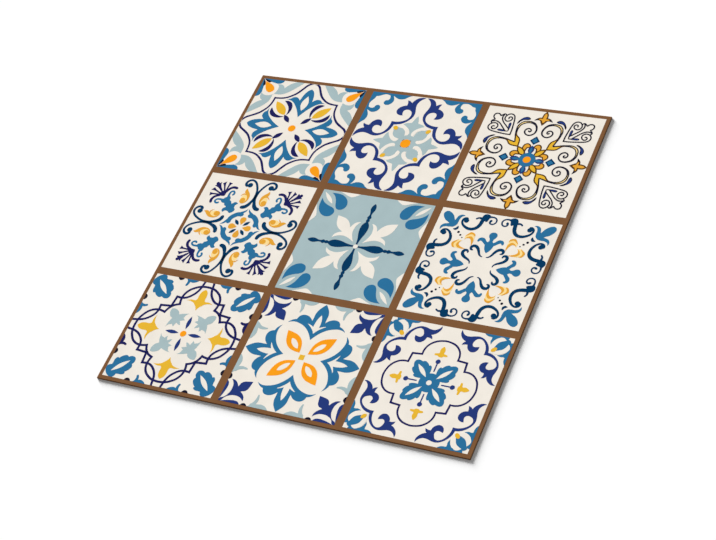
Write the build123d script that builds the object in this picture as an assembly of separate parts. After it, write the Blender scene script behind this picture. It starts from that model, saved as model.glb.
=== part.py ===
"""Self-adhesive wall tile: one die-cut vinyl sheet whose face is divided into a square of printed tiles.

The frame is the wall's: the adhesive back lies in the plane z = 0 with the origin at its centre, +Z comes out
of the printed face, +X runs to the right along the print and +Y to its top edge. Lengths are millimetres.
"""

import os

from build123d import *

# Driving dimensions
tiles_per_side = 3  # printed tiles along each edge of the sheet
tile_face = 93.7  # side of one printed tile
grout_width = 6.3  # grout line between two printed tiles
sheet_thickness = 1.5  # vinyl and its adhesive coat together
cut_edge_round = 0.25  # rounding that the cutting die draws over the face's outer edge

# What follows from them: the outer border is half a grout line, so two sheets laid edge to edge show a whole one
tile_pitch = tile_face + grout_width
sheet_side = tiles_per_side * tile_pitch


def die_cut_sheet():
    """The plain sheet: square corners, upright cut walls and a face edge rounded by the die."""
    blank = Box(sheet_side, sheet_side, sheet_thickness, align=(Align.CENTER, Align.CENTER, Align.MIN))
    face_edges = blank.faces().sort_by(Axis.Z)[-1].edges()
    return fillet(face_edges, cut_edge_round)


def tile_squares():
    """The printed squares on their grid, as flat faces in the plane of the sheet's face."""
    square = Rectangle(tile_face, tile_face).face()
    grid = GridLocations(tile_pitch, tile_pitch, tiles_per_side, tiles_per_side)
    return [Pos(Z=sheet_thickness) * spot * square for spot in grid]


def tile_sheet():
    """One solid with split lines round each printed square.

    The sheet's face gives way to a lattice of grout and the flat squares that fill it, level with each other,
    and the cut walls and the back stay as they were.
    """
    *walls_and_back, printed_face = die_cut_sheet().faces().sort_by(Axis.Z)
    squares = tile_squares()
    grout = printed_face - squares
    return Solid(Shell([*walls_and_back, *grout.faces(), *squares]))


os.makedirs("parts", exist_ok=True)
sheet = tile_sheet()
export_step(sheet, "parts/tile_sheet.step")
print("sheet side", sheet_side, "faces", len(sheet.faces()), "solids", len(sheet.solids()), "volume", sheet.volume)
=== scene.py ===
"""Self-adhesive wall tile: a die-cut vinyl sheet, its face printed as nine ornamental tiles with brown grout.

Metres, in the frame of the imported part: the adhesive back lies in z = 0 with the origin at its centre, +Z
comes out of the printed face, +X runs to the right along the print and +Y to its top edge.
"""

from math import radians

import bpy
import numpy as np
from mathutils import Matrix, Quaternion, Vector


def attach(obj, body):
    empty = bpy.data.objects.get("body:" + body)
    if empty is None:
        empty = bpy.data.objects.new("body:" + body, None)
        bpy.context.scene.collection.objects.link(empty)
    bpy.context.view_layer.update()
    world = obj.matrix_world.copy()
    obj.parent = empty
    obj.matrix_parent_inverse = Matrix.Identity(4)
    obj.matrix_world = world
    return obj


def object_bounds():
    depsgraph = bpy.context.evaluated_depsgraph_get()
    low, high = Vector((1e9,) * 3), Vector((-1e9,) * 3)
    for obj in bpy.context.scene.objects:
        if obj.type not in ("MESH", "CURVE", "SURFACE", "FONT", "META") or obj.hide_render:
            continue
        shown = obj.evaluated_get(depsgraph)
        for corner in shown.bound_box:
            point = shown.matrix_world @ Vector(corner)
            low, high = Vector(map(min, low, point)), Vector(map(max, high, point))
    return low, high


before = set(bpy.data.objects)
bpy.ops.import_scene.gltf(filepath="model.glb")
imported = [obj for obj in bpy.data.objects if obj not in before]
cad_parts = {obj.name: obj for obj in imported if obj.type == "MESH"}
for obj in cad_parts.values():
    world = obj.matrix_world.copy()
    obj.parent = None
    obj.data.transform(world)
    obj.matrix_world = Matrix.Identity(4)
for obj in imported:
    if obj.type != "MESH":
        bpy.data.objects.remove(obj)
cad_low, cad_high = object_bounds()

# The sheet: plasticised vinyl, calendered, coloured brown right through and die-cut square. Its brown is the
# grout between the printed tiles, and its back is the pale adhesive coat.
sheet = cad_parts["tile_sheet"]
grout_brown = (125, 87, 56)
adhesive_white = (226, 222, 212)
tone_low, tone_high = 0.3, 0.7  # the span that a noise of 0 to 1 mostly keeps to
sheen = 0.03  # specular level of film and vinyl


def tint(colour, shade=1.0):
    """A colour of 0 to 255 as the eye reads it, as a shader's linear colour, times a shade."""
    c = np.array(colour) / 255
    linear = np.where(c > 0.04045, ((c + 0.055) / 1.055) ** 2.4, c / 12.92)
    return (*np.minimum(linear * shade, 1).tolist(), 1)


def node(tree, kind, sockets=None, **settings):
    """A shader node with its settings; a socket given an output is wired to it, one given a value is set."""
    made = tree.nodes.new("ShaderNode" + kind)
    for name, value in settings.items():
        setattr(made, name, value)
    for name, value in (sockets or {}).items():
        if isinstance(value, bpy.types.NodeSocket):
            tree.links.new(value, made.inputs[name])
        else:
            made.inputs[name].default_value = value
    return made


def film_group():
    """The skin that every ink and the bare vinyl share, as a shader group on Object coordinates.

    Tone is a slow cloud about 12 mm across plus a fine grain of half a millimetre, from 0 to 1. Roughness
    follows a cloud of 4 mm between its two inputs, and Normal leans by a faint orange peel of 1 mm.
    """
    group = bpy.data.node_groups.new("vinyl_film", "ShaderNodeTree")
    for name, start in (("Smoothest", 0.55), ("Roughest", 0.7), ("Peel", 0.05)):
        group.interface.new_socket(name, in_out="INPUT", socket_type="NodeSocketFloat").default_value = start
    for name, kind in (("Tone", "Float"), ("Roughness", "Float"), ("Normal", "Vector")):
        group.interface.new_socket(name, in_out="OUTPUT", socket_type="NodeSocket" + kind)
    given = group.nodes.new("NodeGroupInput").outputs
    put_out = group.nodes.new("NodeGroupOutput").inputs
    place = node(group, "TexCoord").outputs["Object"]
    cloud = node(group, "TexNoise", {"Vector": place, "Scale": 80, "Detail": 3})
    grain = node(group, "TexNoise", {"Vector": place, "Scale": 2000, "Detail": 1})
    tone = node(group, "Mix", {"Factor": 0.35, "A": cloud.outputs["Fac"], "B": grain.outputs["Fac"]})
    group.links.new(tone.outputs["Result"], put_out["Tone"])
    smear = node(group, "TexNoise", {"Vector": place, "Scale": 250, "Detail": 2})
    gloss = node(group, "MapRange", {
        "Value": smear.outputs["Fac"], "From Min": tone_low, "From Max": tone_high,
        "To Min": given["Smoothest"], "To Max": given["Roughest"]})
    group.links.new(gloss.outputs["Result"], put_out["Roughness"])
    peel = node(group, "TexNoise", {"Vector": place, "Scale": 1000, "Detail": 1})
    lean = node(group, "Bump", {"Strength": given["Peel"], "Distance": 0.0001, "Height": peel.outputs["Fac"]})
    group.links.new(lean.outputs["Normal"], put_out["Normal"])
    return group


vinyl_film = film_group()


def film_material(name, colour, swing, peel):
    """A satin material whose colour swings to both sides of its own by a share, as the film's tone goes.

    The tone is a mix of noises, so nearly all of it lies between tone_low and tone_high.
    """
    material = bpy.data.materials.new(name)
    material.use_nodes = True
    tree = material.node_tree
    skin = tree.nodes.new("ShaderNodeGroup")
    skin.node_tree = vinyl_film
    skin.inputs["Peel"].default_value = peel
    tones = node(tree, "ValToRGB", {"Fac": skin.outputs["Tone"]})
    darkest, lightest = tones.color_ramp.elements
    darkest.position, darkest.color = tone_low, tint(colour, 1 - swing)
    lightest.position, lightest.color = tone_high, tint(colour, 1 + swing)
    shader = tree.nodes["Principled BSDF"]
    shader.inputs["Specular IOR Level"].default_value = sheen
    tree.links.new(tones.outputs["Color"], shader.inputs["Base Color"])
    tree.links.new(skin.outputs["Roughness"], shader.inputs["Roughness"])
    tree.links.new(skin.outputs["Normal"], shader.inputs["Normal"])
    return material


vinyl = film_material("grout_vinyl", grout_brown, swing=0.07, peel=0.15)
tree = vinyl.node_tree
shader = tree.nodes["Principled BSDF"]
brown = shader.inputs["Base Color"].links[0].from_socket
space = node(tree, "TexCoord").outputs
facing = node(tree, "SeparateXYZ", {"Vector": space["Normal"]})
looks_down = node(tree, "Math", {0: facing.outputs["Z"], 1: -0.5}, operation="LESS_THAN")
streaks = node(tree, "TexNoise", {"Vector": space["Object"], "Scale": 300, "Detail": 4})
coat = node(tree, "ValToRGB", {"Fac": streaks.outputs["Fac"]})
darkest, lightest = coat.color_ramp.elements
darkest.color, lightest.color = tint(adhesive_white, 0.88), tint(adhesive_white, 1.08)
colour_a, colour_b, mixed_colour = 6, 7, 2  # a Mix node's colour sockets, which share their names with others
both = node(tree, "Mix", {"Factor": looks_down.outputs[0]}, data_type="RGBA")
tree.links.new(brown, both.inputs[colour_a])
tree.links.new(coat.outputs["Color"], both.inputs[colour_b])
tree.links.new(both.outputs[mixed_colour], shader.inputs["Base Color"])
sheet.data.materials.clear()
sheet.data.materials.append(vinyl)

# The tile grounds: eight cream squares and a pale one in the middle, printed over the brown so that its
# lattice stays between them as the grout. A film of ink is some hundredths of a millimetre thick.
tiles_per_side = 3
grout_width = 0.0063
tile_pitch = (cad_high.x - cad_low.x) / tiles_per_side
half_tile = (tile_pitch - grout_width) / 2
face = cad_high.z
key_depth = 2e-5  # how far a film reaches into the vinyl
ground_rise = 2e-5  # a ground's height over the face
pass_rise = 2e-5  # what each later pass of ink adds
shape_rise = 1.5e-6  # what each later shape of a pass adds
same_point = 1e-9  # edges closer than this meet


def ink(slot, colour):
    """An ink's material, under the name of the record's slot that it is the finish of."""
    return film_material(slot, colour, swing=0.04, peel=0.05)


def film_mesh(name, films):
    """Closed films of ink as one mesh: a flat rectangle carried along each shape from its base to its tip.

    A film is its copies' two edges, as complex numbers, and its height. Each ruling's rectangle reaches from
    one edge to the other and from inside the vinyl up to the height, and where the edges meet it closes to an
    upright line.
    """
    corners, sides = [], []
    for edges, top in films:
        outline = np.concatenate([edges[:, 0], edges[:, 1, ::-1]], axis=1)
        turning = (outline.conj() * np.roll(outline, -1, axis=1)).imag.sum(axis=1)
        edges = np.where(turning[:, None, None] > 0, edges[:, ::-1], edges)
        ring = edges[:, [0, 1, 1, 0]].transpose(0, 2, 1)
        height = np.broadcast_to([top, top, face - key_depth, face - key_depth], ring.shape)
        number = np.arange(ring.size).reshape(ring.shape) + sum(map(len, corners))
        for end in (0, -1):
            shut = abs(ring[:, end, 0] - ring[:, end, 1]) < same_point
            number[shut, end, 1:3] = number[shut, end][:, [0, 3]]
        corners.append(np.stack([ring.real, ring.imag, height], axis=-1).reshape(-1, 3))
        onward = np.roll(number, -1, axis=2)
        walls = np.stack([number[:, :-1], onward[:, :-1], onward[:, 1:], number[:, 1:]], axis=-1)
        sides += [walls.reshape(-1, 4), number[:, 0, ::-1], number[:, -1]]
    sides = np.concatenate(sides)
    triangles = np.concatenate([sides[:, [0, 1, 2]], sides[:, [0, 2, 3]]])
    triangles = triangles[(triangles != np.roll(triangles, 1, axis=1)).all(axis=1)]
    kept, triangles = np.unique(triangles, return_inverse=True)
    mesh = bpy.data.meshes.new(name)
    mesh.from_pydata(np.concatenate(corners)[kept].tolist(), [], triangles.reshape(-1, 3).tolist())
    return mesh


def lay_film(name, material, films):
    """One ink's films on a tile, as a piece that rides on the sheet and wears the ink's material, which bears
    its slot's name.
    """
    piece = bpy.data.objects.new(name, film_mesh(name, films))
    piece.data.materials.append(material)
    bpy.context.scene.collection.objects.link(piece)
    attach(piece, "root")


def lay_print(tile, column, row, *passes):
    """Prints a tile over its ground in passes, lists of an ink and a shape's copies; each ink makes a piece.

    Every shape lies a little higher than the one before, and each pass more so, and what would run over the
    tile's edge is trimmed to it.
    """
    centre = tile_pitch * complex(column, row)
    inks = {}
    for number, shapes in enumerate(passes, 1):
        for order, (material, copies) in enumerate(shapes):
            top = face + ground_rise + number * pass_rise + order * shape_rise
            trimmed = np.clip(copies.real, -1, 1) + 1j * np.clip(copies.imag, -1, 1)
            inks.setdefault(material.name, (material, []))[1].append((centre + half_tile * trimmed, top))
    for slot, (material, films) in inks.items():
        lay_film(f"{tile}_{slot.removesuffix('_print')}", material, films)


cream = ink("cream_print", (241, 234, 223))
pale = ink("pale_print", (168, 189, 192))
square = np.array([[[-1-1j, -1+1j], [1-1j, 1+1j]]])
for row in (1, 0, -1):
    for column in (-1, 0, 1):
        middle = row == column == 0
        placed = tile_pitch * complex(column, row) + half_tile * square
        lay_film(f"ground_{2 - row}_{column + 2}", pale if middle else cream, [(placed, face + ground_rise)])

# Back-left tile: a star of blue leaves and gold buds in an indigo ogee frame, with pale leaves and orange
# buds in the corners. The inks are screen-printed on the ground; a part of a figure is drawn, then repeated.
blue = ink("blue_print", (44, 112, 156))
dark_line = ink("dark_line_print", (24, 24, 42))
gold = ink("gold_print", (233, 183, 53))
navy = ink("navy_print", (38, 57, 120))
indigo = ink("indigo_print", (30, 31, 88))
orange = ink("orange_print", (251, 159, 27))
ruling_step = 0.02  # longest step between two rulings of a shape, in half tile sides
span_samples = 16  # samples of a pen line from one point to the next
arch_rulings = 25  # rulings of a petal or an oval
end_rulings = 7  # rulings of a brush stroke's round end


def pen_line(points):
    """A smooth line through points, each a complex number in half tile sides from the tile's centre.

    Each span is a cubic whose end slopes follow the neighbouring points; a point given twice is a sharp
    corner. Returns the length run up to each sample and the samples; a point is each span_samples-th of them.
    """
    drawn = np.array(points, complex)
    u = np.arange(span_samples) / span_samples
    spans = []
    for run in np.split(drawn, np.flatnonzero(np.diff(drawn) == 0) + 1):
        reach = np.append(0, np.cumsum(abs(np.diff(run))))
        slope = np.gradient(run, reach, edge_order=min(2, len(run) - 1))[:, None]
        a, b = run[:-1, None], run[1:, None]
        pull = np.diff(reach)[:, None] * u * (1 - u) * (slope[:-1] * (1 - u) - slope[1:] * u)
        spans.append((a * (1 + 2 * u) * (1 - u) ** 2 + b * u * u * (3 - 2 * u) + pull).ravel())
    line = np.append(np.concatenate(spans), drawn[-1])
    return np.append(0, np.cumsum(abs(np.diff(line)))), line


def rulings(length, *stops):
    """Shares of a length, from 0 to 1, that hold every stop and lie no further apart than a ruling step."""
    stops = np.unique(np.concatenate(stops).round(6))
    ends = np.append(0, np.cumsum(np.ceil(np.diff(stops) * length / ruling_step)))
    return np.interp(np.arange(ends[-1] + 1), ends, stops)


def leaf(near, far):
    """A shape between two pen lines from base to tip: equal shares of the two lines face each other."""
    (reach, line), (far_reach, far_line) = pen_line(near), pen_line(far)
    stop, far_stop = reach[::span_samples] / reach[-1], far_reach[::span_samples] / far_reach[-1]
    share = rulings(max(reach[-1], far_reach[-1]), stop, far_stop)
    edge = np.interp(share * reach[-1], reach, line)
    return np.stack([edge, np.interp(share * far_reach[-1], far_reach, far_line)])


def brush(points, *widths, round_ends=True):
    """A brush stroke: a pen line widened to both sides by half a width, which runs evenly through the widths.

    A round end is a half circle: near it the half width w falls as the root of w^2 less the square of what is
    missing to w from the end. A width of 0 makes a point.
    """
    reach, line = pen_line(points)
    length = reach[-1]
    arc = 1 - np.cos(np.linspace(0, np.pi / 2, end_rulings))
    start, end = widths[0] / 2 / length, widths[-1] / 2 / length
    share = rulings(length, reach[::span_samples] / length, arc * start, 1 - arc * end)
    half = np.interp(share, np.linspace(0, 1, len(widths)), widths) / 2
    for gap, radius in ((share, start), (1 - share, end)):
        if round_ends and radius:
            half = half * np.sqrt(1 - np.clip(1 - gap / radius, 0, 1) ** 2)
    middle = np.interp(share * length, reach, line)
    step = 1e-4  # the line's direction is taken over this much to both sides
    ahead = np.interp(share * length + step, reach, line) - np.interp(share * length - step, reach, line)
    side = 1j * ahead / abs(ahead) * half
    return np.stack([middle + side, middle - side])


def on_axis(side):
    """A shape across the tile's upright axis: a pen line from base to tip, and its mirror image."""
    edge = leaf(side, side)[0]
    return np.stack([edge, -edge.conj()])


def on_diagonal(side):
    """A shape across the tile's rising diagonal: a pen line from base to tip, and its mirror image."""
    edge = leaf(side, side)[0]
    return np.stack([edge, 1j * edge.conj()])


def spread(base, tip, half):
    """A straight shape from base to tip, its half widths given at equal steps of a half turn."""
    turn = np.linspace(0, np.pi, len(half))
    middle = base + (tip - base) * (1 - np.cos(turn)) / 2
    side = 1j * (tip - base) / abs(tip - base) * half
    return np.stack([middle + side, middle - side])


def petal(base, tip, width, belly=0.5):
    """A petal pointed at both ends: its half width is a sine arch that peaks at the belly's share."""
    share = (1 - np.cos(np.linspace(0, np.pi, arch_rulings))) / 2
    return spread(base, tip, width / 2 * np.sin(np.pi * share ** (np.log(0.5) / np.log(belly))))


def oval(centre, along, across):
    """An ellipse with one half axis along a complex number and the other of a given length across it."""
    half = across * np.sin(np.linspace(0, np.pi, arch_rulings))
    return spread(centre - along, centre + along, half)


def disc(centre, radius):
    """A circle, as the ellipse with two equal half axes."""
    return oval(centre, radius, radius)


def four(shape):
    """A shape in four quarter turns round the tile's centre."""
    return np.stack([shape, 1j * shape, -shape, -1j * shape])


def eight(shape):
    """A shape and its mirror image over the upright axis, both in four quarter turns."""
    return np.concatenate([four(shape), four(-shape.conj())])


def two(shape):
    """A shape and its half turn round the tile's centre."""
    return np.stack([shape, -shape])


def single(shape):
    """A shape by itself."""
    return shape[None]


lay_print("star_tile", -1, 1, [
    (pale, eight(leaf(
        [.2+1j, .29+.89j, .38+.79j, .45+.73j, .52+.695j, .6+.685j, .69+.69j],
        [.2+1j, .34+1j, .42+.955j, .48+.9j, .51+.855j, .525+.83j, .525+.83j, .55+.875j, .6+.905j, .69+.9j]))),
    (blue, eight(leaf(
        [.59+1j, 1+1j],
        [.59+1j, .605+.955j, .64+.927j, .69+.915j, .75+.92j, .81+.935j, .87+.955j, 1+1j]))),
    (indigo, eight(leaf(
        [.085+1j, .13+.965j, .17+.9j, .22+.82j, .265+.757j, .32+.708j, .39+.66j, .45+.637j, .53+.624j,
         .622+.622j],
        [.99j, .06+.972j, .1+.937j, .14+.875j, .185+.798j, .235+.732j, .3+.677j, .37+.632j, .45+.602j,
         .52+.592j, .588+.588j]))),
    (blue, four(on_axis(
        [.25j, .046+.337j, .094+.417j, .117+.47j, .122+.55j, .12+.61j, .112+.67j, .1+.73j, .07+.81j,
         .03+.86j, .878j]))),
    (blue, eight(leaf(
        [.1+.6j, .12+.61j, .15+.642j, .19+.668j, .23+.673j, .27+.66j, .298+.63j, .298+.63j, .33+.617j,
         .385+.602j],
        [.06+.36j, .095+.414j, .153+.486j, .223+.555j, .296+.593j, .385+.602j]))),
    (gold, four(on_diagonal([.264+.264j, .27+.33j, .304+.406j, .363+.464j, .44+.507j, .532+.532j]))),
    (indigo, eight(leaf(
        [.235+.255j, .198+.32j, .187+.4j, .197+.46j, .237+.532j, .3+.568j, .39+.562j],
        [.235+.255j, .23+.32j, .24+.38j, .266+.44j, .314+.498j, .362+.54j, .39+.562j]))),
    (indigo, four(petal(.112+.112j, .265+.265j, .085))),
    (orange, single(disc(0j, .068))),
], [
    (cream, four(on_diagonal(
        [.675+.675j, .645+.735j, .635+.81j, .65+.865j, .695+.907j, .76+.925j, .83+.935j, .95+.95j]))),
    (cream, four(petal(.395j, .72j, .128, .48))),
], [
    (orange, four(on_diagonal(
        [.728+.728j, .705+.772j, .722+.823j, .777+.875j, .85+.91j, .9+.926j, .952+.952j]))),
    (dark_line, eight(leaf(
        [.83+.95j, .86+.922j, .91+.935j, .955+.965j, .99+.99j],
        [.83+.95j, .87+.965j, .92+.98j, .99+.99j]))),
])

# Back-middle tile: navy scrolls branch round a pale cross with an orange boss, inside a scalloped blue border
# with hooks. Cream is printed over the cross as the edges of its leaves, which end in gold beads.
lay_print("scroll_cross_tile", 0, 1, [
    (pale, four(on_axis(
        [0j, .1+.1j, .06+.2j, .11+.33j, .19+.388j, .15+.418j, .1+.43j, .058+.44j, .058+.44j, .045+.48j,
         .03+.53j, .59j]))),
    (pale, four(on_diagonal([.06+.06j, .085+.17j, .11+.25j, .17+.3j, .24+.32j, .32+.32j]))),
    (navy, eight(leaf(
        [.01+.985j, .06+.95j, .1+.9j, .12+.84j, .113+.76j, .095+.7j, .081+.64j, .084+.58j, .102+.528j,
         .15+.46j, .21+.405j, .28+.375j, .36+.36j],
        [.01+.985j, .09+.985j, .15+.96j, .2+.9j, .22+.85j, .215+.78j, .18+.7j, .147+.645j, .136+.59j,
         .143+.552j, .17+.5j, .23+.455j, .31+.428j, .425+.425j]))),
    (navy, eight(leaf(
        [.19+.84j, .285+.79j, .33+.775j, .38+.745j, .415+.7j, .425+.65j, .405+.6j, .36+.573j, .282+.57j],
        [.145+.645j, .2+.695j, .24+.702j, .28+.69j, .302+.66j, .303+.62j, .295+.59j, .282+.57j]))),
    (navy, eight(leaf(
        [.2+.845j, .23+.86j, .265+.885j, .315+.897j],
        [.24+.75j, .285+.79j, .292+.84j, .315+.897j]))),
    (blue, eight(leaf(
        [.27+1j, 1+1j],
        [.27+1j, .33+.965j, .38+.92j, .44+.9j, .5+.903j, .55+.925j, .6+.955j, .6+.955j, .65+.955j, .7+.966j,
         .75+.972j, .8+.955j, .85+.925j, .91+.91j]))),
    (blue, eight(leaf(
        [.62+.98j, .605+.955j, .575+.9j, .563+.85j, .585+.79j, .635+.75j, .69+.75j, .725+.785j, .72+.825j],
        [.71+.975j, .665+.95j, .65+.91j, .652+.875j, .675+.85j, .7+.845j, .72+.825j]))),
], [
    (cream, eight(leaf(
        [.065+.16j, .025+.185j, .02+.22j, .05+.285j, .11+.34j, .19+.38j, .27+.377j, .35+.35j],
        [.065+.16j, .08+.19j, .095+.24j, .13+.28j, .18+.305j, .23+.31j, .27+.33j, .35+.35j]))),
    (orange, single(disc(0j, .088))),
], [
    (gold, four(oval(.296+.296j, .034+.034j, .038))),
])

# Back-right tile: thin dark lines draw a heart in each corner and a pair of spirals on each side, round a
# blue and amber rosette with gold calyxes. Amber and gold have umber lines; navy commas lie by the spirals.
umber = ink("umber_print", (84, 54, 22))
amber = ink("amber_print", (230, 165, 56))
ink_blue = ink("ink_blue_print", (6, 56, 94))
lemon = ink("lemon_print", (255, 222, 150))
pen = .022  # width of the tile's line work

lay_print("heart_tile", 1, 1, [
    (gold, eight(leaf(
        [.245+.245j, .25+.31j, .26+.37j, .285+.412j, .32+.442j, .35+.48j, .368+.53j],
        [.245+.245j, .318+.318j, .318+.318j, .325+.36j, .34+.41j, .355+.46j, .368+.53j]))),
    (lemon, eight(brush(
        [.374+.59j, .368+.65j, .342+.705j, .3+.741j, .25+.755j, .18+.756j], 0, .02, .022, .022, .02, 0))),
    (dark_line, eight(leaf(
        [.218+.818j, .25+.85j, .3+.857j, .35+.832j, .39+.784j, .418+.725j, .415+.688j],
        [.218+.818j, .25+.797j, .3+.79j, .34+.78j, .37+.752j, .395+.712j, .415+.688j]))),
    (dark_line, eight(leaf(
        [.51+.515j, .505+.58j, .503+.64j, .512+.69j, .525+.705j],
        [.525+.525j, .535+.58j, .548+.64j, .545+.69j, .525+.705j]))),
    (ink_blue, four(leaf([.31j, -.085+.39j, -.085+.39j, .488j], [.31j, .085+.39j, .085+.39j, .488j]))),
    (umber, four(on_axis(
        [.71j, .03+.755j, .055+.795j, .06+.83j, .052+.86j, .05+.9j, .042+.95j, .02+.985j, 1.01j]))),
    (umber, eight(leaf(
        [.035+.868j, .06+.876j, .095+.868j, .13+.842j, .158+.805j],
        [.02+.765j, .05+.8j, .085+.815j, .12+.812j, .158+.805j]))),
    (umber, eight(leaf(
        [.125+.145j, .157+.2j, .162+.262j, .14+.312j, .095+.332j, .05+.315j, .018+.262j],
        [.085+.15j, .08+.2j, .075+.225j, .06+.235j, .04+.24j, .018+.262j]))),
], [
    (umber, eight(brush(
        [.245+.245j, .25+.31j, .258+.37j, .28+.412j, .315+.44j, .348+.475j, .362+.53j], pen, pen))),
    (navy, eight(brush([.247+.822j, .3+.824j, .345+.806j, .38+.765j], .024, .04, .032, 0))),
    (navy, eight(brush([.52+.58j, .527+.685j], .018, .028))),
    (amber, four(on_axis([.765j, .018+.79j, .03+.82j, .025+.86j, .028+.9j, .02+.94j, .97j]))),
    (amber, eight(leaf(
        [.02+.85j, .05+.852j, .075+.85j, .092+.838j],
        [.02+.81j, .05+.822j, .075+.83j, .092+.838j]))),
    (amber, eight(leaf(
        [.112+.175j, .138+.21j, .14+.26j, .122+.297j, .092+.31j, .06+.295j, .042+.262j],
        [.112+.175j, .1+.21j, .094+.235j, .078+.25j, .06+.252j, .042+.262j]))),
    (blue, four(leaf([.34j, -.05+.39j, -.05+.39j, .45j], [.34j, .05+.39j, .05+.39j, .45j]))),
    (navy, four(petal(.1j, .295j, .1, .55))),
], [
    (dark_line, eight(brush(
        [.322+.325j, .338+.38j, .348+.42j, .362+.46j, .373+.51j, .382+.57j, .386+.63j, .372+.685j, .345+.728j,
         .305+.757j, .25+.768j, .19+.768j, .14+.752j, .1+.722j], pen, pen, pen, .018, .02, .024))),
    (dark_line, eight(brush(
        [.362+.52j, .365+.585j, .354+.645j, .333+.688j, .297+.719j, .25+.74j, .2+.744j, .15+.734j, .11+.71j],
        pen, .018, .018, .018, .02))),
    (dark_line, eight(brush(
        [.14+.745j, .1+.715j, .066+.66j, .052+.6j, .06+.55j, .09+.51j, .14+.488j, .19+.497j, .226+.53j,
         .238+.57j, .224+.605j, .187+.626j, .152+.615j, .135+.588j, .147+.564j, .17+.566j,
         .172+.588j],
        .04, .034, .03, .028, .025, .025, .025, .025, .024, .024, .024))),
    (dark_line, eight(brush(
        [.457+.446j, .459+.55j, .47+.65j, .482+.74j, .493+.795j, .513+.845j, .545+.871j, .58+.878j,
         .617+.865j, .645+.835j, .658+.8j, .655+.765j, .635+.735j, .6+.72j, .562+.73j, .537+.755j, .53+.785j,
         .545+.81j, .57+.816j, .592+.8j, .585+.77j], pen, pen, round_ends=False))),
    (dark_line, eight(brush(
        [.525+.572j, .56+.605j, .6+.643j, .65+.69j, .683+.735j, .7+.775j, .7+.815j, .685+.85j], pen, pen))),
    (dark_line, eight(brush(
        [.652+.838j, .668+.858j, .69+.862j, .715+.842j, .741+.81j], pen, pen))),
    (dark_line, eight(brush([.741+.81j, .758+.84j, .788+.857j, .82+.857j, .85+.84j], pen, pen))),
    (dark_line, eight(leaf([.1+.862j, .125+.843j, .16+.803j], [.102+.824j, .125+.813j, .16+.803j]))),
    (umber, four(on_diagonal([.085+.085j, .078+.14j, .1+.178j, .145+.215j, .19+.238j, .25+.25j]))),
    (blue, four(petal(.12j, .265j, .045))),
], [
    (gold, four(on_diagonal([.1+.1j, .1+.132j, .125+.172j, .165+.203j, .2+.216j, .222+.222j]))),
    (blue, single(disc(0j, .14))),
], [
    (orange, single(disc(0j, .064))),
])

# Left tile: a blue ring round an amber cross sends out blue fleurs to indigo palmettes in the corners, and
# dark blue scrolls with amber leaves to the sides. The lemon ink fills the leaves' hollows.
lay_print("palmette_tile", -1, 0, [
    (lemon, eight(oval(.185+.565j, .09j, .068))),
    (ink_blue, eight(brush(
        [.182+.402j, .11+.408j, .065+.45j, .034+.515j, .012+.585j, .009+.66j, .017+.735j, .038+.8j, .063+.85j,
         .098+.905j, .145+.947j, .2+.964j, .25+.947j, .283+.9j, .274+.85j, .225+.838j],
        .06, .072, .07, .058, .049, .044, .042, .04, .039, .039, .039, .039, .042, .045, .05, .052))),
    (ink_blue, eight(disc(.2+.856j, .048))),
    (blue, four(brush(
        [.045+.237j, .13+.252j, .205+.205j, .252+.13j, .237+.045j], .078, .085, .088, .085, .078))),
    (blue, eight(brush([.012+.385j, .035+.335j, .075+.3j, .13+.275j], 0, .03, .045, .04))),
    (amber, four(on_axis([.05j, .026+.09j, .05+.13j, .056+.16j, .038+.198j, .21j]))),
    (ink_blue, four(petal(.04+.04j, .142+.142j, .058))),
    (blue, four(on_diagonal(
        [.272+.272j, .248+.327j, .28+.367j, .285+.41j, .32+.44j, .352+.43j, .375+.455j, .385+.48j, .425+.5j,
         .428+.54j, .46+.58j, .5+.557j, .534+.534j]))),
    (blue, eight(leaf([.3+.37j, .285+.41j, .245+.452j], [.37+.4j, .345+.445j, .3+.48j, .245+.452j]))),
    (blue, eight(brush(
        [.475+.53j, .486+.58j, .488+.63j, .475+.67j, .446+.687j, .417+.672j, .407+.643j, .414+.62j,
         .437+.613j],
        .06, .042, .036, .034, .034, .034, .036, .04))),
    (indigo, four(on_diagonal([.567+.567j, .558+.62j, .565+.67j, .6+.682j, .63+.665j, .65+.65j]))),
    (indigo, eight(brush(
        [.575+.64j, .548+.7j, .515+.742j, .455+.765j, .39+.745j], .05, .045, .048, .05, .046))),
    (indigo, eight(leaf(
        [.568+.65j, .566+.74j, .558+.8j, .528+.838j],
        [.6+.66j, .594+.74j, .592+.8j, .6+.855j]))),
    (indigo, eight(leaf(
        [.59+.66j, .62+.725j, .643+.785j, .65+.86j],
        [.62+.65j, .644+.713j, .67+.765j, .71+.812j]))),
    (indigo, four(on_diagonal(
        [.62+.62j, .66+.685j, .695+.726j, .725+.777j, .738+.835j, .738+.835j, .768+.806j, .768+.806j,
         .8+.828j, .818+.818j]))),
], [
    (amber, eight(leaf(
        [.212+.785j, .185+.745j, .14+.7j, .112+.65j, .104+.59j, .113+.54j, .14+.495j, .19+.468j, .235+.488j,
         .253+.53j],
        [.212+.785j, .232+.735j, .225+.695j, .195+.665j, .16+.63j, .14+.59j, .135+.55j, .152+.515j, .19+.49j,
         .22+.502j, .253+.53j]))),
    (amber, eight(leaf(
        [.2+.672j, .23+.675j, .255+.652j, .277+.612j],
        [.18+.65j, .22+.653j, .245+.638j, .277+.612j]))),
    (amber, eight(disc(.2+.54j, .047))),
])

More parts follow.
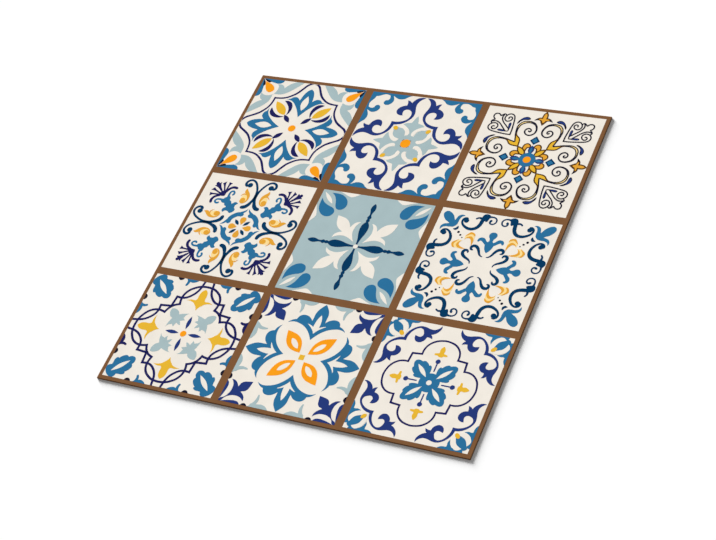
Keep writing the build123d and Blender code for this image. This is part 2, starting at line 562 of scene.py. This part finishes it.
# Middle tile: the only one on a pale ground, with a dark blue baluster along each axis, cream leaves along
# the diagonals and a pair of blue drops in each corner.
lay_print("pale_tile", 0, 0, [
    (cream, eight(leaf([.33+1j, .7+1j], [.33+1j, .4+.948j, .46+.92j, .53+.935j, .6+.965j, .7+1j]))),
    (ink_blue, four(on_axis(
        [0j, .012+.03j, .018+.09j, .03+.16j, .056+.25j, .07+.335j, .062+.42j, .02+.488j, .02+.488j,
         .031+.522j, .02+.552j, .02+.552j, .037+.58j, .018+.625j, .018+.655j, .026+.69j, .043+.745j,
         .037+.8j, .02+.838j, .86j]))),
    (cream, four(on_diagonal(
        [.075+.075j, .12+.15j, .155+.23j, .172+.29j, .235+.335j, .262+.385j, .3+.44j, .37+.495j, .45+.52j,
         .535+.535j]))),
    (cream, eight(leaf(
        [.1+.47j, .148+.4j, .163+.33j, .165+.25j],
        [.1+.47j, .18+.445j, .215+.4j, .24+.335j]))),
    (blue, eight(leaf(
        [.577+.64j, .504+.677j, .479+.75j, .497+.823j, .556+.896j, .644+.943j, .742+.956j, .83+.953j],
        [.577+.64j, .635+.66j, .672+.715j, .692+.775j, .722+.845j, .77+.91j, .83+.953j]))),
    (cream, four(petal(.742+.742j, .955+.955j, .062, .45))),
], [
    (cream, single(disc(0j, .04))),
])

# Right tile: dark blue scrolls close into a diamond with a blue fleur on each side and a blue leaf in each
# corner; amber lilies and small dots lie along the diagonals.
lay_print("diamond_tile", 1, 0, [
    (blue, four(on_axis(
        [.265j, .035+.305j, .06+.355j, .075+.42j, .085+.46j, .045+.475j, .028+.5j, .035+.535j, .062+.58j,
         .066+.62j, .042+.655j, .667j]))),
    (blue, eight(brush([.05+.43j, .1+.475j, .145+.511j, .186+.504j, .2+.455j], .07, .056, .07, .056, .03))),
    (ink_blue, eight(brush(
        [.028+.19j, .07+.202j, .1+.235j, .125+.285j, .155+.332j, .2+.365j, .24+.365j, .268+.335j, .26+.3j,
         .22+.29j],
        .014, .026, .036, .042, .048, .054, .054, .05, .042, .02))),
    (lemon, eight(leaf(
        [.28+.43j, .285+.52j, .32+.575j, .36+.585j, .4+.56j, .438+.515j],
        [.29+.43j, .315+.49j, .345+.515j, .37+.52j, .4+.5j, .43+.462j]))),
    (dark_line, four(disc(.577+.577j, .022))),
    (dark_line, four(disc(.528+.528j, .018))),
    (dark_line, four(disc(.484+.484j, .011))),
    (ink_blue, eight(leaf(
        [.622+.692j, .605+.655j, .613+.625j, .622+.622j],
        [.622+.692j, .64+.665j, .65+.65j]))),
    (ink_blue, eight(brush(
        [.118+.88j, .14+.867j, .147+.838j, .125+.814j, .09+.813j, .057+.84j, .047+.885j, .066+.925j,
         .11+.945j, .16+.943j, .21+.925j], .058, .036, .028, .026, .026, .026, .026, .026, .03, .035, .05))),
    (ink_blue, eight(leaf(
        [.155+.945j, .19+.978j, .235+.99j, .278+.973j, .3+.93j, .307+.88j, .3+.83j],
        [.155+.945j, .18+.9j, .195+.85j, .215+.837j, .235+.85j, .25+.85j, .26+.8j]))),
    (ink_blue, eight(brush(
        [.278+.87j, .282+.8j, .3+.739j, .339+.69j, .392+.667j, .45+.667j, .518+.694j, .57+.737j, .593+.79j,
         .582+.834j, .548+.854j, .515+.838j], .07, .064, .062, .06, .056, .052, .048, .042, .036, .036, .04,
         .05))),
    (ink_blue, eight(disc(.53+.81j, .042))),
    (ink_blue, eight(brush([.3+.885j, .345+.896j, .37+.885j, .39+.863j], .05, .034, .03, .026))),
    (blue, four(on_diagonal(
        [.68+.68j, .655+.72j, .66+.76j, .7+.77j, .725+.8j, .765+.87j, .83+.925j, .885+.943j, .925+.925j]))),
    (blue, eight(leaf(
        [.575+.897j, .625+.873j, .648+.82j, .65+.76j, .66+.71j],
        [.575+.897j, .635+.91j, .685+.88j, .705+.83j, .72+.76j]))),
], [
    (amber, eight(leaf(
        [.288+.355j, .278+.43j, .295+.49j, .34+.53j, .385+.518j, .43+.455j],
        [.288+.355j, .308+.42j, .33+.465j, .36+.49j, .392+.488j, .43+.455j]))),
    (amber, eight(leaf(
        [.283+.53j, .29+.578j, .33+.605j, .375+.608j, .405+.575j, .443+.518j],
        [.283+.53j, .31+.557j, .345+.572j, .375+.566j, .4+.545j, .443+.518j]))),
])

# Front-left tile: indigo lines cross into a strapwork frame of four lobes round a pale flower, with gold
# trefoils in its lobes and serrated blue leaves in the corners. Two of the edges' eight leaves are indigo.
strap = .04  # width of the tile's line work
edge_leaf = leaf([.2+1j, .43+1j], [.2+1j, .24+.965j, .3+.945j, .36+.955j, .43+1j])
edge_barb = brush([.395+1j, .375+.915j, .398+.87j], .045, .048, .035)

lay_print("strapwork_tile", -1, -1, [
    (gold, four(on_axis([.45j, .04+.525j, .085+.57j, .1+.61j, .07+.665j, .07+.74j, .05+.815j, .86j]))),
    (gold, eight(leaf(
        [.06+.65j, .09+.638j, .16+.638j, .245+.608j],
        [.04+.525j, .09+.577j, .15+.603j, .245+.608j]))),
    (pale, four(on_diagonal(
        [.135+.135j, .155+.19j, .173+.217j, .152+.254j, .15+.3j, .19+.335j, .24+.33j, .265+.375j, .31+.405j,
         .37+.42j, .412+.412j]))),
    (pale, eight(leaf(
        [.065+.372j, .13+.362j, .19+.347j, .235+.33j],
        [.065+.372j, .115+.335j, .13+.29j, .17+.25j]))),
    (pale, eight(leaf([.09+.24j, .13+.275j, .18+.3j], [.09+.24j, .13+.232j, .165+.218j, .2+.22j]))),
    (navy, four(petal(.085j, .335j, .066))),
    (indigo, eight(brush(
        [.08+1.03j, .092+.95j, .107+.86j, .14+.78j, .2+.706j, .27+.655j, .345+.636j, .4+.638j, .457+.644j],
        strap, strap, round_ends=False))),
    (indigo, eight(brush(
        [.912j, .06+.908j, .13+.895j, .21+.855j, .28+.8j, .325+.73j, .345+.65j, .34+.58j, .317+.498j],
        strap, strap, round_ends=False))),
    (indigo, eight(brush([.306+.518j, .37+.497j, .415+.473j, .45+.44j], strap, strap, round_ends=False))),
    (indigo, eight(brush([.434+.657j, .444+.56j, .454+.456j], strap, strap, round_ends=False))),
    (blue, four(on_diagonal(
        [.585+.585j, .567+.63j, .57+.67j, .593+.706j, .593+.706j, .57+.755j, .59+.808j, .648+.864j,
         .648+.864j, .636+.893j, .675+.923j, .74+.927j, .78+.932j, .78+.932j, .793+.975j, .82+1j, .875+1j,
         .913+.983j, .952+.952j]))),
    (blue, four(edge_leaf)),
    (blue, four(edge_barb)),
    (blue, two(-edge_leaf.conj())),
    (blue, two(-edge_barb.conj())),
    (indigo, two(-1j * edge_leaf.conj())),
    (indigo, two(-1j * edge_barb.conj())),
    (dark_line, eight(leaf([.475+1j, .59+1j], [.475+1j, .5+.965j, .54+.955j, .57+.97j, .59+1j]))),
], [
    (cream, four(petal(.65+.65j, .895+.895j, .078))),
    (orange, single(disc(0j, .055))),
])

# Front-middle tile: four orange petals with cream hearts in a knot of blue leaves, navy fleurs in the corners
# and a pale scallop along each side.
lay_print("blossom_tile", 0, -1, [
    (blue, eight(leaf(
        [.99j, .044+.94j, .085+.88j, .11+.8j, .11+.72j, .113+.66j],
        [.79j, .025+.74j, .045+.66j, .05+.56j]))),
    (blue, eight(leaf(
        [.05+.56j, .08+.62j, .115+.665j, .16+.71j, .22+.74j, .28+.745j, .34+.72j, .37+.67j, .375+.645j,
         .375+.645j, .42+.632j, .46+.605j, .5+.563j],
        [.05+.56j, .1+.585j, .15+.6j, .2+.58j, .25+.57j, .3+.59j, .38+.605j, .44+.593j, .5+.563j]))),
    (blue, eight(leaf(
        [.32j, .05+.4j, .12+.48j, .2+.54j, .3+.581j, .38+.594j, .44+.587j, .5+.56j],
        [.44j, .05+.51j, .1+.555j, .16+.597j, .25+.628j, .35+.632j, .43+.615j, .5+.56j]))),
    (orange, four(on_diagonal([.072+.072j, .08+.15j, .1+.235j, .15+.315j, .22+.37j, .32+.405j, .425+.425j]))),
    (gold, single(leaf([-.045-.045j, -.045+.045j], [.045-.045j, .045+.045j]))),
    (navy, four(on_diagonal(
        [.577+.577j, .59+.66j, .607+.725j, .645+.762j, .69+.775j, .74+.82j, .8+.86j, .86+.885j, .93+.945j,
         .95+.99j, 1+1j]))),
    (navy, eight(leaf(
        [.6+.94j, .61+.87j, .65+.82j, .7+.785j, .76+.76j],
        [.6+.94j, .64+.9j, .7+.872j, .76+.866j, .82+.872j, .87+.895j]))),
    (navy, eight(leaf([.63+1j, .96+1j], [.63+1j, .67+.962j, .74+.95j, .82+.96j, .9+.978j, .96+1j]))),
    (pale, eight(leaf([.14+1j, .5+1j], [.14+1j, .2+.945j, .27+.925j, .33+.932j, .4+.95j, .5+1j]))),
    (pale, eight(brush([.45+1j, .39+.92j, .375+.86j, .385+.77j], .1, .065, .05, .02))),
    (dark_line, eight(leaf([.5+1j, .61+1j], [.5+1j, .525+.97j, .56+.96j, .59+.97j, .61+1j]))),
], [
    (cream, four(on_diagonal([.135+.135j, .145+.185j, .19+.25j, .245+.29j, .298+.298j]))),
])

# Front-right tile: a serrated blue cross with cream veins in an indigo quatrefoil line, gold fleurs on the
# sides, navy scrolls round it and a blue and cream bud with a gold bead in each corner.
lay_print("quatrefoil_tile", 1, -1, [
    (gold, four(on_axis([.455j, .04+.468j, .045+.51j, .035+.54j, .042+.57j, .025+.62j, .65j]))),
    (gold, eight(brush([.02+.497j, .065+.497j, .105+.49j], .05, .04, .03))),
    (navy, four(brush([.195j, .36j], .022, .022))),
    (navy, four(disc(.377j, .039))),
    (blue, single(disc(0j, .165))),
    (blue, four(on_diagonal(
        [.06+.06j, .052+.12j, .05+.17j, .05+.22j, .058+.265j, .08+.291j, .105+.282j, .105+.282j, .128+.312j,
         .165+.34j, .198+.35j, .227+.335j, .227+.335j, .255+.346j, .295+.353j, .338+.338j]))),
    (indigo, eight(leaf(
        [.761j, .08+.75j, .16+.725j, .233+.671j, .283+.6j, .304+.527j, .304+.471j, .304+.471j, .458+.458j],
        [.731j, .08+.72j, .148+.696j, .211+.65j, .256+.588j, .274+.523j, .274+.442j, .274+.442j,
         .428+.428j]))),
    (navy, eight(leaf(
        [.165+.99j, .2+.935j, .26+.9j, .32+.9j, .4+.92j, .47+.927j, .54+.905j, .61+.85j, .66+.78j,
         .685+.685j],
        [.165+.99j, .16+.93j, .185+.875j, .23+.83j, .3+.8j, .4+.8j, .415+.845j, .445+.876j, .49+.888j,
         .54+.867j, .59+.815j, .625+.74j, .635+.68j, .632+.632j]))),
    (navy, eight(leaf(
        [.28+.83j, .33+.75j, .345+.7j, .38+.66j, .43+.64j, .48+.652j, .512+.69j, .52+.755j],
        [.47+.9j, .42+.85j, .402+.8j, .41+.76j, .44+.738j, .48+.742j, .52+.755j]))),
    (navy, eight(leaf(
        [.3+.81j, .265+.79j, .25+.765j, .242+.732j],
        [.345+.75j, .3+.752j, .27+.745j, .242+.732j]))),
    (blue, eight(leaf(
        [.52+1j, .92+1j],
        [.52+1j, .57+.967j, .65+.957j, .75+.957j, .84+.96j, .9+.935j]))),
    (blue, eight(leaf(
        [.645+.965j, .655+.94j, .65+.89j, .672+.83j],
        [.755+.965j, .735+.95j, .7+.91j, .672+.83j]))),
], [
    (cream, four(petal(.083+.083j, .28+.28j, .066))),
    (cream, single(disc(0j, .042))),
    (cream, four(on_diagonal(
        [.7+.7j, .68+.8j, .7+.89j, .75+.955j, .8+.982j, .84+.975j, .875+.95j, .875+.95j, .918+.918j]))),
], [
    (blue, four(on_diagonal([.73+.73j, .752+.82j, .785+.885j, .84+.922j, .88+.94j, .908+.963j, .947+.947j]))),
], [
    (gold, four(oval(.752+.752j, .036+.036j, .034))),
])

# The stage: a white floor that the sheet lies on, one low soft lamp from the back left, which draws the short
# shadow along the front and right walls, and an even white sky.
sun_share = 0.8
sun_height = radians(16.5)
sun_spread = radians(25)
sun_way = Vector((0.77, -0.64, 0))
floor_white = 0.96
floor_glow = 0.06  # what the camera sees of the floor beside the light on it, so that it reads as white

ground = bpy.data.meshes.new("floor")
reach, level = 4.0, -1e-4
corners = [(-reach, -reach, level), (reach, -reach, level), (reach, reach, level), (-reach, reach, level)]
ground.from_pydata(corners, [], [(0, 1, 2, 3)])
floor = bpy.data.objects.new("floor", ground)
bpy.context.scene.collection.objects.link(floor)
white_floor = bpy.data.materials.new("white_floor")
white_floor.use_nodes = True
tree = white_floor.node_tree
shader = tree.nodes["Principled BSDF"]
shader.inputs["Base Color"].default_value = (floor_white, floor_white, floor_white, 1)
shader.inputs["Roughness"].default_value = 1
shader.inputs["Specular IOR Level"].default_value = 0
shader.inputs["Emission Color"].default_value = (1, 1, 1, 1)
path = node(tree, "LightPath").outputs
seen = node(tree, "Math", {0: path["Is Camera Ray"], 1: floor_glow}, operation="MULTIPLY")
tree.links.new(seen.outputs[0], shader.inputs["Emission Strength"])
ground.materials.append(white_floor)

lamp = bpy.data.lights.new("low_lamp", "SUN")
lamp.energy = sun_share * np.pi / np.sin(sun_height)
lamp.angle = sun_spread
sun = bpy.data.objects.new("low_lamp", lamp)
away = sun_way * np.cos(sun_height) - Vector((0, 0, np.sin(sun_height)))
sun.rotation_euler = away.to_track_quat("-Z", "Y").to_euler()
sun.visible_glossy = False
bpy.context.scene.collection.objects.link(sun)

world = bpy.data.worlds.new("white_sky")
bpy.context.scene.world = world
world.use_nodes = True
tree = world.node_tree
path = node(tree, "LightPath").outputs
looked_at = node(tree, "Math", {0: path["Is Camera Ray"], 1: path["Is Glossy Ray"]}, operation="MAXIMUM")
looked_at = node(tree, "Math", {0: looked_at.outputs[0], 1: path["Is Transmission Ray"]}, operation="MAXIMUM")
strength = node(tree, "MapRange", {"Value": looked_at.outputs[0], "To Min": 1 - sun_share, "To Max": 1})
sky = tree.nodes["Background"]
sky.inputs["Color"].default_value = (1, 1, 1, 1)
tree.links.new(strength.outputs["Result"], sky.inputs["Strength"])

# The camera: it stands over the front right corner and looks down on the sheet through a long lens, a little
# rolled, so that the sheet's back edge falls to the right.
lens = bpy.data.cameras.new("camera")
lens.lens = 88.93
lens.sensor_width = 36
camera = bpy.data.objects.new("camera", lens)
camera.location = (0.5841, -0.6378, 0.9704)
aim = Vector((0.0098, -0.0188, 0))
roll = radians(-25.24)
look = (aim - camera.location).to_track_quat("-Z", "Y") @ Quaternion((0, 0, 1), roll)
camera.rotation_euler = look.to_euler()
bpy.context.scene.collection.objects.link(camera)
bpy.context.scene.camera = camera
bpy.context.scene.view_settings.view_transform = "Standard"
